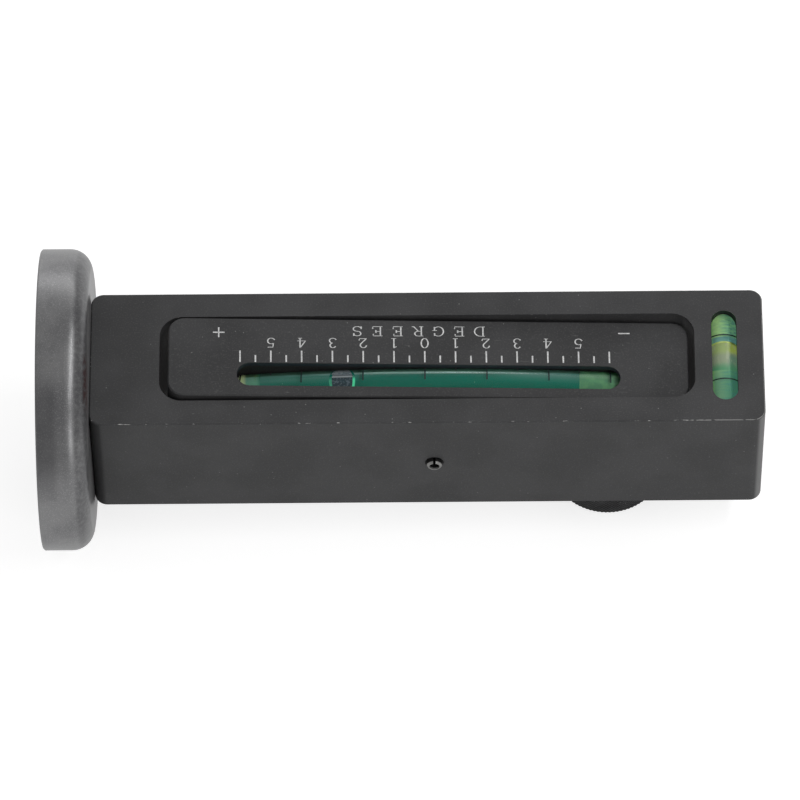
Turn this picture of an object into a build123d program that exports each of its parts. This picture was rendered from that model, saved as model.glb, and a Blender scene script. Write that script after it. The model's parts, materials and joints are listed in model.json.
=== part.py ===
from build123d import *
import math
import os

# Camber gauge. A round pot magnet holds a square aluminium bar on a wheel hub. A pocket in the bar's top
# holds a rocker with an arched spirit vial and a scale in degrees. The rocker turns on a cross pin: a knurled
# screw lifts its right end against a spring under its left end, to set the zero. A short level lies across
# the bar's far end.
# The frame's origin is the centre of the magnet's holding face. +X runs along the bar away from the magnet,
# +Z is the normal of the face with the scale, and the camber vial lies on the -Y side. Millimetres, degrees.

# Cuts and fits
overrun = 1.0
press_gap = 0.01
running_gap = 0.04
thread_gap = 0.05
glue_gap = 0.05

# Magnet: steel pot, ferrite ring, cast resin, brass sleeve
disc_diameter = 60.0
disc_thickness = 10.0
disc_rear_round = 4.3
disc_front_break = 0.3
cup_wall = 4.0
cup_base = 4.0
resin_width = 2.0
magnet_recess = 0.3
sleeve_wall = 2.0

# Screw and washer that clamp the magnet to the bar
screw_diameter = 6.0
screw_length = 14.0
screw_head_diameter = 10.0
screw_head_height = 4.0
screw_head_room = 0.6
screw_socket_across = 4.0
screw_socket_depth = 2.3
screw_tip_chamfer = 0.8
screw_hole_gap = 0.3
screw_hole_past = 2.6
washer_inset = 0.05
washer_thickness = 1.6
washer_split = 1.2
washer_split_angle = 20.0

# Rocker: a bar with its ends a wall past the spring and the vial
rocker_right_wall = 11.1
rocker_width = 18.0
rocker_above = 14.3
rocker_below = 3.7
rocker_corner = 3.2
rocker_break = 0.25
rest_tilt = 1.94

# Bar, measured as walls and gaps round what it holds
pocket_end_wall = 13.7
pocket_gap_left = 1.24
pocket_gap_right = 1.66
pocket_side_gap = 0.75
pocket_corner = 4.5
pocket_room_below = 4.3
face_step = 0.7
side_wall = 5.5
floor_wall = 7.5
level_wall = 2.15
far_end_wall = 3.95
bar_corner = 2.5
bar_break = 0.25

# Pivot: a slit spring pin
pin_diameter = 3.0
pin_wall = 0.45
pin_slit = 0.5
pin_proud = 1.0
pin_chamfer = 0.3
pin_mouth = 0.4

# Camber vial, measured along its arch from the zero mark
vial_diameter = 7.3
vial_wall = 0.9
vial_left = 36.3
vial_right = 39.4
vial_side_wall = 1.25
vial_cover = 0.25
vial_side_gap = 0.1
vial_lip_gap = 0.12
arch_radius = 347.0
plug_left_length = 4.1
plug_right_length = 9.4
fluid_gap = 0.02
fluid_height = 0.9
bubble_length = 4.6
bubble_gap = 0.1
bubble_corner = 1.4
bubble_reading = -2.7

# Window, channel and cement round the camber vial
window_width = 5.3
window_past_left = 0.8
window_short_right = 0.8
channel_end_gap = 1.6
channel_corner = 1.5
cement_length = 10.0
cement_setback = 1.0

# Scale filled with white
zero_offset = 2.2
scale_degrees = 6
tick_width = 0.3
tick_long = 2.65
tick_short = 1.6
tick_depth = 0.1
tick_to_window = 0.45
scale_skew = 0.5

# Adjuster: knob, screw, ball and the pad it bears on
adjuster_arm = 34.82
adjuster_diameter = 6.0
knob_diameter = 22.5
knob_height = 9.0
knob_gap = 2.8
knob_chamfer = 0.8
knob_bore_depth = 7.0
knob_dish_diameter = 15.0
knob_dish_depth = 0.6
ball_diameter = 4.0
ball_gap = 0.15
ball_socket_gap = 0.05
ball_grip = 0.5
pad_diameter = 8.0
pad_thickness = 2.5

# Spring under the rocker's left end, between the vial's channel and the end of the bar
spring_web = 2.4
spring_end_wall = 3.4
spring_diameter = 6.2
spring_wire = 0.8
spring_turns = 6.0
spring_side_gap = 0.4
spring_end_gap = 0.05
spring_seat_depth = 2.5
spring_hole_depth = 3.0

# Level vial across the bar's far end
level_near_wall = 3.45
level_roof = 1.5
level_bore_gap = 0.1
level_end_gap = 0.1
level_plug_length = 2.0
level_tube_wall_middle = 0.8
level_tube_wall_end = 1.0
level_fluid_height = 0.9
level_bubble_length = 6.7
level_bubble_rest = 1.2
level_bubble_corner = 1.6
level_window_cover = 1.3
level_window_width = 5.0
retainer_recess = 0.2

# Places worked out from the sizes above. The rocker's are measured from its pivot pin.
channel_left = -zero_offset - vial_left - channel_end_gap
channel_right = -zero_offset + vial_right + channel_end_gap
spring_hole_radius = spring_diameter / 2 + spring_side_gap
spring_arm = spring_hole_radius + spring_web - channel_left
rocker_left = spring_arm + spring_hole_radius + spring_end_wall
rocker_right = channel_right + rocker_right_wall
cup_depth = disc_thickness - cup_base
sleeve_bore = screw_head_diameter + 2 * screw_head_room
sleeve_diameter = sleeve_bore + 2 * sleeve_wall
washer_diameter = screw_head_diameter - 2 * washer_inset
magnet_diameter = disc_diameter - 2 * cup_wall - 2 * resin_width
pocket_left = disc_thickness + pocket_end_wall
pin_x = pocket_left + pocket_gap_left + rocker_left
pocket_right = pin_x + rocker_right + pocket_gap_right
pocket_width = rocker_width + 2 * pocket_side_gap
pocket_floor = -rocker_below - pocket_room_below
bar_top = rocker_above + face_step
bar_bottom = pocket_floor - floor_wall
bar_half_width = pocket_width / 2 + side_wall
level_bore_radius = vial_diameter / 2 + level_bore_gap
level_x = pocket_right + level_wall + level_bore_radius
level_z = bar_top - level_roof - level_bore_radius
bar_end = level_x + level_bore_radius + far_end_wall
vial_radius = vial_diameter / 2
vial_bore_radius = vial_radius - vial_wall
level_length = 2 * (bar_half_width - level_near_wall - level_end_gap)
level_middle_radius = vial_radius - level_tube_wall_middle
level_end_radius = vial_radius - level_tube_wall_end
tilt = math.radians(rest_tilt)

# The arch's centre lies straight below the zero mark, so that its crown reads zero on a level bar. The
# tilted face passes over the crown with the vial's cover to spare.
zero_x = pin_x - zero_offset * math.cos(tilt) + rocker_above * math.sin(tilt)
zero_z = rocker_above * math.cos(tilt) + zero_offset * math.sin(tilt)
arch_z = zero_z - (arch_radius + vial_radius + vial_cover) / math.cos(tilt)
arch_axis = Axis((zero_x, 0, arch_z), (0, 1, 0))
degree_pitch = math.radians(1) * (arch_radius + vial_bore_radius / 2)

channel_width = vial_diameter + 2 * vial_side_gap
vial_offset = rocker_width / 2 - vial_side_wall - channel_width / 2

# The ball lies under the tilted rocker, a small gap away, and the screw's lip reaches past its middle.
adjuster_x = pin_x + adjuster_arm
underside_z = -rocker_below / math.cos(tilt) - adjuster_arm * math.tan(tilt)
ball_z = underside_z - (ball_diameter / 2 + ball_gap) / math.cos(tilt)
screw_tip_z = ball_z + ball_grip
knob_top = bar_bottom - knob_gap
knob_bottom = knob_top - knob_height

# The spring stands in the pocket's floor, with its top just under the tilted roof of the rocker's hole.
spring_x = pin_x - spring_arm
spring_bottom = pocket_floor - spring_seat_depth
spring_roof = (spring_hole_depth - rocker_below) / math.cos(tilt) + spring_arm * math.tan(tilt)
spring_top = spring_roof - spring_diameter / 2 * math.tan(tilt) - spring_end_gap


def vial_height(place):
    """Height of the vial's axis above the pin in the rocker's own level frame."""
    angle = place / arch_radius
    x = zero_x + arch_radius * math.sin(angle) - pin_x
    z = arch_z + arch_radius * math.cos(angle)
    return z * math.cos(tilt) + x * math.sin(tilt)


# The vial's crown stands in the window between two lips. They are as thick as the vial leaves room for, both
# beside its crown and past the window's right end, where its top runs under the rocker's face.
vial_drop = vial_radius - math.sqrt(vial_radius ** 2 - (window_width / 2) ** 2)
end_cover = rocker_above - vial_height(vial_right - window_short_right) - vial_radius
lip_thickness = min(vial_cover + vial_drop, end_cover) - vial_lip_gap


def block(low, high):
    """Box between two opposite corners."""
    size = [far - near for near, far in zip(low, high)]
    return Pos(*low) * Box(*size, align=(Align.MIN, Align.MIN, Align.MIN))


def rod_x(radius, start, end):
    """Cylinder on the X axis between two places."""
    return Rot(0, 90, 0) * rod_z(radius, start, end)


def rod_y(radius, start, end):
    """Cylinder on the Y axis between two places."""
    return Rot(-90, 0, 0) * rod_z(radius, start, end)


def rod_z(radius, start, end):
    """Cylinder on the Z axis between two heights."""
    return Pos(0, 0, start) * Cylinder(radius, end - start, align=(Align.CENTER, Align.CENTER, Align.MIN))


def on_rocker(shape):
    """Turn a shape drawn level round the pin into the rocker's place and tilt at rest."""
    return Pos(pin_x, 0, 0) * Rot(0, rest_tilt, 0) * shape


def arched(profile, start, end):
    """Swing a profile drawn round the vial's axis along the arch, between two places from the crown."""
    crown = Plane((zero_x, -vial_offset, arch_z + arch_radius), x_dir=(0, 1, 0), z_dir=(1, 0, 0))
    turned = (crown * profile).rotate(arch_axis, math.degrees(start / arch_radius))
    return revolve(turned, arch_axis, math.degrees((end - start) / arch_radius))


def round_cap(radius, height):
    """Part of a disc that lies above a height, as the air in a tube does."""
    above = Pos(0, height) * Rectangle(2 * radius, 2 * radius, align=(Align.CENTER, Align.MIN))
    return Circle(radius) & above


def round_base(radius, height):
    """Part of a disc that lies below a height, as the fluid in a tube does."""
    above = Pos(0, height) * Rectangle(2 * radius, 2 * radius, align=(Align.CENTER, Align.MIN))
    return Circle(radius) - above


def make_magnet_cup():
    """Steel pot: flat rim in front, a large round behind."""
    cup = rod_x(disc_diameter / 2, 0, disc_thickness)
    edges = cup.edges().filter_by(GeomType.CIRCLE).sort_by(Axis.X)
    cup = fillet(edges[-1], disc_rear_round)
    rim = cup.edges().filter_by(GeomType.CIRCLE).sort_by(Axis.X)[0]
    cup = chamfer(rim, disc_front_break)
    cup -= rod_x(disc_diameter / 2 - cup_wall, -overrun, cup_depth)
    cup -= rod_x(screw_diameter / 2 + screw_hole_gap, 0, disc_thickness + overrun)
    return cup


def make_ring_magnet():
    """Ferrite ring, a little behind the cup's rim."""
    ring = rod_x(magnet_diameter / 2, magnet_recess, cup_depth)
    return ring - rod_x(sleeve_diameter / 2 + glue_gap, 0, cup_depth + overrun)


def make_resin_ring():
    """Resin cast between the ferrite and the cup's wall."""
    ring = rod_x(magnet_diameter / 2 + resin_width, magnet_recess, cup_depth)
    return ring - rod_x(magnet_diameter / 2, 0, cup_depth + overrun)


def make_centre_sleeve():
    """Brass sleeve in the ferrite's bore, flush with the holding face."""
    return rod_x(sleeve_diameter / 2, 0, cup_depth) - rod_x(sleeve_bore / 2, -overrun, cup_depth + overrun)


def make_magnet_screw():
    """Low-head screw with a hexagon socket; its head seats on the washer."""
    seat = cup_depth - washer_thickness
    head = rod_x(screw_head_diameter / 2, seat - screw_head_height, seat)
    head = chamfer(head.edges().sort_by(Axis.X)[0], disc_front_break)
    shank = rod_x(screw_diameter / 2, seat, seat + screw_length)
    shank = chamfer(shank.edges().filter_by(GeomType.CIRCLE).sort_by(Axis.X)[-1], screw_tip_chamfer)
    across_corners = screw_socket_across / math.cos(math.radians(30))
    socket = extrude(RegularPolygon(across_corners / 2, 6), screw_socket_depth + overrun)
    socket = Pos(seat - screw_head_height - overrun, 0, 0) * Rot(0, 90, 0) * socket
    return head + shank - socket


def make_lock_washer():
    """Split spring washer between the screw's head and the cup's base."""
    seat = cup_depth - washer_thickness
    ring = rod_x(washer_diameter / 2, seat, cup_depth)
    ring -= rod_x(screw_diameter / 2 + thread_gap, 0, cup_depth + overrun)
    gap = Box(4 * washer_thickness, washer_split, washer_diameter)
    gap = Pos((seat + cup_depth) / 2, 0, washer_diameter / 2) * Rot(0, 0, washer_split_angle) * gap
    return ring - gap


def make_housing():
    """Bar with the rocker's pocket, the level's bore and window, and the holes for pin, screws and spring."""
    bar = block((disc_thickness, -bar_half_width, bar_bottom), (bar_end, bar_half_width, bar_top))
    bar = fillet(bar.edges().filter_by(Axis.Z), bar_corner)
    bar = chamfer(bar.faces().sort_by(Axis.Z)[-1].edges(), bar_break)
    bar = chamfer(bar.faces().sort_by(Axis.Z)[0].edges(), bar_break)
    pocket = RectangleRounded(pocket_right - pocket_left, pocket_width, pocket_corner)
    pocket = extrude(pocket, bar_top - pocket_floor + overrun)
    bar -= Pos((pocket_left + pocket_right) / 2, 0, pocket_floor) * pocket
    blind_end = -level_length / 2 - level_end_gap
    bar -= Pos(level_x, 0, level_z) * rod_y(level_bore_radius, blind_end, bar_half_width + overrun)
    window = SlotOverall(level_length - 2 * level_window_cover, level_window_width, rotation=90)
    bar -= Pos(level_x, 0, level_z) * extrude(window, bar_top - level_z + overrun)
    hole = pin_diameter / 2 + press_gap
    bar -= Pos(pin_x, 0, 0) * rod_y(hole, -bar_half_width - overrun, bar_half_width + overrun)
    mouth = Cone(hole, hole + pin_mouth, pin_mouth, align=(Align.CENTER, Align.CENTER, Align.MIN))
    bar -= Pos(pin_x, bar_half_width - pin_mouth, 0) * Rot(-90, 0, 0) * mouth
    bar -= Pos(pin_x, -bar_half_width + pin_mouth, 0) * Rot(90, 0, 0) * mouth
    screw_end = cup_depth - washer_thickness + screw_length
    bar -= rod_x(screw_diameter / 2 + thread_gap, disc_thickness - overrun, screw_end + screw_hole_past)
    thread = rod_z(adjuster_diameter / 2 + thread_gap, bar_bottom - overrun, pocket_floor + overrun)
    bar -= Pos(adjuster_x, 0, 0) * thread
    bar -= Pos(spring_x, 0, 0) * rod_z(spring_hole_radius, spring_bottom, pocket_floor + overrun)
    return bar


def rocker_slab():
    """Whole space of the rocker bar, drawn level, before anything is cut from it."""
    low = (-rocker_left, -rocker_width / 2, -rocker_below)
    return block(low, (rocker_right, rocker_width / 2, rocker_above))


def make_channel():
    """Space milled from the rocker's underside for the vial, drawn level."""
    plan = RectangleRounded(channel_right - channel_left, channel_width, channel_corner)
    space = extrude(plan, rocker_below + rocker_above - lip_thickness + overrun)
    return Pos((channel_left + channel_right) / 2, -vial_offset, -rocker_below - overrun) * space


def make_pad_hole():
    """Counterbore for the wear pad, drawn level."""
    hole = rod_z(pad_diameter / 2, -rocker_below - overrun, pad_thickness - rocker_below)
    return Pos(adjuster_arm, 0, 0) * hole


def make_ticks():
    """Ticks of the scale, drawn level: long ones at whole degrees, short ones at the halves between."""
    ticks = []
    base = window_width / 2 - vial_offset + tick_to_window
    for half in range(-2 * scale_degrees, 2 * scale_degrees + 1):
        place = half / 2 * degree_pitch
        length = tick_long if half % 2 == 0 else tick_short
        mark = Box(tick_width, length, tick_depth, align=(Align.CENTER, Align.MIN, Align.MAX))
        ticks.append(Pos(place, 0, 0) * mark)
    return Pos(-zero_offset, base, rocker_above) * Rot(0, 0, scale_skew) * Compound(children=ticks)


def make_rocker():
    """Solid bar with round corners, the vial's channel and window, and the engraved scale."""
    bar = fillet(rocker_slab().edges().filter_by(Axis.Z), rocker_corner)
    bar = chamfer(bar.faces().sort_by(Axis.Z)[-1].edges(), rocker_break)
    bar -= make_channel()
    window_left = -zero_offset - vial_left - window_past_left
    window_right = -zero_offset + vial_right - window_short_right
    window = extrude(SlotOverall(window_right - window_left, window_width), lip_thickness + 2 * overrun)
    window_middle = (window_left + window_right) / 2
    bar -= Pos(window_middle, -vial_offset, rocker_above - lip_thickness - overrun) * window
    bar -= rod_y(pin_diameter / 2 + running_gap, -rocker_width, rocker_width)
    bar -= make_pad_hole()
    spring_hole = rod_z(spring_hole_radius, -rocker_below - overrun, spring_hole_depth - rocker_below)
    bar -= Pos(-spring_arm, 0, 0) * spring_hole
    for tick in make_ticks().solids():
        bar -= tick
    return on_rocker(bar)


def make_cement(low, high, height):
    """Cast block round the vial's lower half at one end of the channel, between two places."""
    deep = cement_setback - rocker_below
    space = block((low, -rocker_width / 2, deep), (high, rocker_width / 2, height))
    shape = on_rocker((space & make_channel()) - make_pad_hole())
    room = arched(Circle(vial_radius), -vial_left - channel_end_gap, vial_right + channel_end_gap)
    return shape - room


def make_camber_bubble():
    """Bubble under the top of the vial's bore, as long as it reads in use."""
    centre = bubble_reading * degree_pitch
    cap = round_cap(vial_bore_radius - bubble_gap, fluid_height + bubble_gap)
    body = arched(cap, centre - bubble_length / 2, centre + bubble_length / 2)
    plan = extrude(RectangleRounded(bubble_length - bubble_gap, vial_diameter, bubble_corner), vial_diameter)
    return body & (Pos(zero_x + centre, -vial_offset, zero_z - vial_diameter) * plan)


def make_roll_pin():
    """Spring pin rolled from strip, slit upward, standing out of both sides of the bar."""
    end = bar_half_width + pin_proud
    pin = rod_y(pin_diameter / 2, -end, end)
    pin = chamfer(pin.edges().filter_by(GeomType.CIRCLE), pin_chamfer)
    pin -= rod_y(pin_diameter / 2 - pin_wall, -end - overrun, end + overrun)
    pin -= block((-pin_slit / 2, -end - overrun, 0), (pin_slit / 2, end + overrun, pin_diameter))
    return Pos(pin_x, 0, 0) * pin


def make_knob():
    """Round knob with a shallow dish below and a blind bore for the screw."""
    knob = rod_z(knob_diameter / 2, knob_bottom, knob_top)
    knob = chamfer(knob.edges().filter_by(GeomType.CIRCLE), knob_chamfer)
    knob -= rod_z(knob_dish_diameter / 2, knob_bottom - overrun, knob_bottom + knob_dish_depth)
    knob -= rod_z(adjuster_diameter / 2 + press_gap, knob_top - knob_bore_depth, knob_top + overrun)
    return Pos(adjuster_x, 0, 0) * knob


def make_adjuster_screw():
    """Screw fixed in the knob, with a ball's socket in its tip."""
    shank = rod_z(adjuster_diameter / 2, knob_top - knob_bore_depth, screw_tip_z)
    shank = chamfer(shank.edges().filter_by(GeomType.CIRCLE).sort_by(Axis.Z)[-1], ball_grip)
    shank -= Pos(0, 0, ball_z) * Sphere(ball_diameter / 2 + ball_socket_gap)
    return Pos(adjuster_x, 0, 0) * shank


def make_spring():
    """Round-wire compression spring, standing free between its seats."""
    radius = (spring_diameter - spring_wire) / 2
    height = spring_top - spring_bottom - spring_wire
    path = Helix(pitch=height / spring_turns, height=height, radius=radius)
    section = Plane(path @ 0, z_dir=path % 0) * Circle(spring_wire / 2)
    coil = sweep(section, path, is_frenet=True)
    return Pos(spring_x, 0, spring_bottom + spring_wire / 2) * coil


def level_barrel(gap):
    """Space inside the level vial between its plugs, widest in the middle, drawn along X."""
    half = level_length / 2 - level_plug_length
    end = level_end_radius - gap
    top = ThreePointArc((-half, end), (0, level_middle_radius - gap), (half, end))
    sides = Polyline((half, end), (half, 0), (-half, 0), (-half, end))
    return revolve(make_face([top, sides]), Axis.X)


def on_level(shape):
    """Move a shape drawn along X into the level's bore across the bar."""
    return Pos(level_x, 0, level_z) * Rot(0, 0, 90) * shape


def make_level_tube():
    """Clear tube with a barrel-shaped bore and straight ends for the plugs."""
    half = level_length / 2
    tube = rod_x(vial_diameter / 2, -half, half)
    tube -= level_barrel(0)
    tube -= rod_x(level_end_radius, -half - overrun, level_plug_length - half)
    tube -= rod_x(level_end_radius, half - level_plug_length, half + overrun)
    return on_level(tube)


def make_level_fluid():
    """Fluid in the level, with the bubble's way left free along the top."""
    half = level_length / 2
    above = block((-half, -vial_diameter, level_fluid_height), (half, vial_diameter, vial_diameter))
    return on_level(level_barrel(fluid_gap) - above)


def make_level_bubble():
    """Bubble in the level, resting a little to the far side of its middle."""
    cap = round_cap(level_end_radius - bubble_gap, level_fluid_height + bubble_gap)
    body = extrude(Plane.YZ * cap, level_bubble_length / 2, both=True)
    plan = extrude(RectangleRounded(level_bubble_length, vial_diameter, level_bubble_corner), vial_diameter)
    return on_level(Pos(level_bubble_rest, 0, 0) * (body & plan))


def make_parts():
    """Every piece by its name, in its place at rest."""
    fluid_left = plug_left_length - vial_left
    fluid_right = vial_right - plug_right_length
    plug = Circle(vial_bore_radius - fluid_gap)
    half = level_length / 2
    level_plug = rod_x(level_end_radius - fluid_gap, 0, level_plug_length)
    retainer = rod_x(level_bore_radius - press_gap, half + level_end_gap, bar_half_width - retainer_recess)
    camber_tube = Circle(vial_radius) - Circle(vial_bore_radius)
    camber_fluid = round_base(vial_bore_radius - fluid_gap, fluid_height)
    left_top = vial_height(-vial_left)
    right_top = vial_height(vial_right)
    return {
        "housing": make_housing(),
        "magnet_cup": make_magnet_cup(),
        "ring_magnet": make_ring_magnet(),
        "magnet_resin_ring": make_resin_ring(),
        "magnet_centre_sleeve": make_centre_sleeve(),
        "magnet_screw": make_magnet_screw(),
        "magnet_lock_washer": make_lock_washer(),
        "rocker_block": make_rocker(),
        "scale_marks": on_rocker(make_ticks()),
        "camber_vial_tube": arched(camber_tube, -vial_left, vial_right),
        "camber_vial_plug_left": arched(plug, -vial_left, fluid_left),
        "camber_vial_plug_right": arched(plug, fluid_right, vial_right),
        "camber_vial_fluid": arched(camber_fluid, fluid_left, fluid_right),
        "camber_bubble": make_camber_bubble(),
        "camber_vial_cement_left": make_cement(channel_left, channel_left + cement_length, left_top),
        "camber_vial_cement_right": make_cement(channel_right - cement_length, channel_right, right_top),
        "rocker_wear_pad": on_rocker(make_pad_hole() & rocker_slab()),
        "pivot_roll_pin": make_roll_pin(),
        "adjuster_knob": make_knob(),
        "adjuster_screw": make_adjuster_screw(),
        "thrust_ball": Pos(adjuster_x, 0, ball_z) * Sphere(ball_diameter / 2),
        "rocker_spring": make_spring(),
        "level_vial_tube": make_level_tube(),
        "level_vial_plug_near": on_level(Pos(-half, 0, 0) * level_plug),
        "level_vial_plug_far": on_level(Pos(half - level_plug_length, 0, 0) * level_plug),
        "level_vial_fluid": make_level_fluid(),
        "level_bubble": make_level_bubble(),
        "level_vial_retainer": on_level(retainer),
    }


os.makedirs("parts", exist_ok=True)
for name, shape in make_parts().items():
    solids = shape.solids()
    export_step(solids[0] if len(solids) == 1 else Compound(children=list(solids)), f"parts/{name}.step")
print("bar length", round(bar_end - disc_thickness, 3), "overall", round(bar_end, 3))
print("pin", round(pin_x, 3), "adjuster", round(adjuster_x, 3), "ball", round(ball_z, 3))
print("arch centre", round(zero_x, 3), round(arch_z, 3), "degree pitch", round(degree_pitch, 3))
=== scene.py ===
import json
import math

import bmesh
import bpy
from mathutils import Matrix, Vector


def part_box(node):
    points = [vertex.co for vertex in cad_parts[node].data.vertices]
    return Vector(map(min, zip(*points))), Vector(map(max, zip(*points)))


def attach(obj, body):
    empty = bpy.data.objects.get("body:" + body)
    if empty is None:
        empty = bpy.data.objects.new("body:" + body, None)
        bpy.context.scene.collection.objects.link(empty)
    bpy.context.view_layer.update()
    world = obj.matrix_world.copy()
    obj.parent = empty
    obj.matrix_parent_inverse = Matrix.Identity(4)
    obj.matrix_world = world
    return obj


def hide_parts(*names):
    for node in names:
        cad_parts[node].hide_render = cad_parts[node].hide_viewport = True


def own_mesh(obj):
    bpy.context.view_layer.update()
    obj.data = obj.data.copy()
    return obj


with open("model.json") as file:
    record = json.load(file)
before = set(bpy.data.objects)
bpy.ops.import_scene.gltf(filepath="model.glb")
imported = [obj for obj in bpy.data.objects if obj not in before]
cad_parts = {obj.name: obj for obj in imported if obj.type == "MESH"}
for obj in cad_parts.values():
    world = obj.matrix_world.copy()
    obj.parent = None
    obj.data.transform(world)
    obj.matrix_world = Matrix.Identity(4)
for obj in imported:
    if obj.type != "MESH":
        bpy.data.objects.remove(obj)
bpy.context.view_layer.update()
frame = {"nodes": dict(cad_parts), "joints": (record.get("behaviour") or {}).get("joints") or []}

# Bar. One square aluminium bar with the rocker's pocket milled in its top, bead blasted and anodised black.
# Every other piece is screwed, pressed or slid into it. Knocks have worn its top edges bright. Its upright
# corners carry painted shade at the left and a painted highlight at the right, the walls of the level's slot
# are painted dark as shade, and it is paler deep in the pocket.
mm = 0.001
bar_low, bar_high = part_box("housing")
bar_break = 0.25 * mm
bar_black = (63, 63, 64)
corner_painted_shade = (34, 34, 35)
corner_painted_highlight = (126, 126, 126)
slot_wall_painted_shade = (24, 24, 30)
worn_metal = (205, 205, 202)
dust = (150, 150, 148)
deep_pocket_pale = (168, 168, 168)
handled_from = 120 * mm
handled_to = 136 * mm
rocker_low, rocker_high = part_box("rocker_block")
rocker_middle = (rocker_low.x + rocker_high.x) / 2
rocker_half = (rocker_high.x - rocker_low.x) / 2
level_low, level_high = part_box("level_vial_tube")
level_x = (level_low.x + level_high.x) / 2
level_radius = (level_high.x - level_low.x) / 2
end_gap_glow = 0.009


def shade(colour):
    """Light values for a colour given as a camera records it, from 0 to 255. A socket stays as it is."""
    if isinstance(colour, bpy.types.NodeSocket):
        return colour
    shares = [value / 255 for value in colour]
    return tuple(s / 12.92 if s <= 0.04045 else ((s + 0.055) / 1.055) ** 2.4 for s in shares) + (1.0,)


def node(kind, inputs, out=0, tree=None, **settings):
    """New shader node with its sockets set or linked, in the tree of what feeds it. Gives back an output."""
    fed = [value for value in inputs.values() if isinstance(value, bpy.types.NodeSocket)]
    tree = tree or fed[0].id_data
    made = tree.nodes.new(kind)
    for name, value in settings.items():
        setattr(made, name, value)
    for key, value in inputs.items():
        if isinstance(value, bpy.types.NodeSocket):
            tree.links.new(value, made.inputs[key])
        else:
            made.inputs[key].default_value = value
    return made.outputs[out] if made.outputs else None


def calc(operation, first, second=0.0):
    """One sum on two values."""
    return node("ShaderNodeMath", {0: first, 1: second}, operation=operation)


def rise(value, low, high):
    """Smooth step from 0 where the value is low to 1 where it is high."""
    inputs = {"Value": value, "From Min": low, "From Max": high}
    return node("ShaderNodeMapRange", inputs, interpolation_type="SMOOTHSTEP")


def rise_about(value, middle, low, high):
    """The same smooth step in the value's distance from a middle."""
    return rise(calc("ABSOLUTE", calc("SUBTRACT", value, middle)), low, high)


def spread(value, low, high):
    """Value from 0 to 1 spread evenly between two others."""
    return node("ShaderNodeMapRange", {"Value": value, "To Min": low, "To Max": high})


def where(*masks):
    """Product of masks and plain shares, so 1 only where all of them are 1."""
    product = masks[0]
    for mask in masks[1:]:
        product = calc("MULTIPLY", product, mask)
    return product


def layer(share, below, above):
    """Colour below, covered by the colour above where the share is 1."""
    return node("ShaderNodeMix", {0: share, 6: shade(below), 7: shade(above)}, out=2, data_type="RGBA")


def coated(colour, *coats):
    """Colour under some coats. Each coat is a colour and its masks, and lies where all of them are 1."""
    for above, *masks in coats:
        colour = layer(where(*masks), colour, above)
    return colour


def stretched(place, shares):
    """Place with each axis scaled, so that a pattern drawn on it is long along the smallest share."""
    return node("ShaderNodeVectorMath", {0: place, 1: shares}, operation="MULTIPLY")


def grain(place, size, detail=2.0):
    """Cloudy noise from 0 to 1 with grains of about a size."""
    return node("ShaderNodeTexNoise", {"Vector": place, "Scale": 1 / size, "Detail": detail})


def patches(place, size, low, high, detail=3.0):
    """Patches of about a size, where the cloudy noise rises from low to high."""
    return rise(grain(place, size, detail), low, high)


def specks(place, spacing, radius, share):
    """Round dots in some cells of a random pattern: 1 in a dot and 0 elsewhere."""
    distance = node("ShaderNodeTexVoronoi", {"Vector": place, "Scale": 1 / spacing})
    lot = node("ShaderNodeSeparateColor", {0: distance.node.outputs["Color"]})
    chosen = calc("GREATER_THAN", lot, 1 - share)
    return where(rise(distance, radius / spacing, 0.6 * radius / spacing), chosen)


def axes(place):
    """The three coordinates of a place."""
    return node("ShaderNodeSeparateXYZ", {0: place}).node.outputs[:]


def socket_named(shader, name):
    """Input of a shader by its name in small letters."""
    return shader.inputs[name.replace("_", " ").title().replace("Ior", "IOR")]


def new_material(name, **values):
    """Material with one shader, whose plain values are set, and the place on the piece it is drawn from."""
    material = bpy.data.materials.new(name)
    material.use_nodes = True
    shader = material.node_tree.nodes["Principled BSDF"]
    for key, value in values.items():
        socket_named(shader, key).default_value = value
    return material, shader, node("ShaderNodeTexCoord", {}, out="Object", tree=material.node_tree)


def dress(shader, height=None, depth=0.0, **varied):
    """Link what varies over the surface to the shader, and a bump of a real depth."""
    if height:
        varied["normal"] = node("ShaderNodeBump", {"Height": height, "Distance": depth, "Strength": 1.0})
    for key, value in varied.items():
        shader.id_data.links.new(value, socket_named(shader, key))


def finish_nodes(material, *names):
    """Give CAD nodes their material."""
    for name in names:
        frame["nodes"][name].material_slots[0].material = material


def blasted_black(place, colour):
    """Colour of bead-blasted black anodising: even, with faint clouds, a fine grain and specks of dust."""
    darker = [0.93 * value for value in colour]
    lighter = [1.06 * value for value in colour]
    return coated(
        layer(patches(place, 14 * mm, 0.35, 0.65, 4.0), darker, lighter),
        (dust, patches(place, 0.3 * mm, 0.5, 0.8, 2.0), 0.12),
        (dust, specks(place, 1.7 * mm, 0.15 * mm, 0.3), 0.45))


def blasted_height(place):
    """Height of the blasted surface, whose pits are about a quarter of a millimetre across."""
    return grain(place, 0.25 * mm, 3.0)


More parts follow.
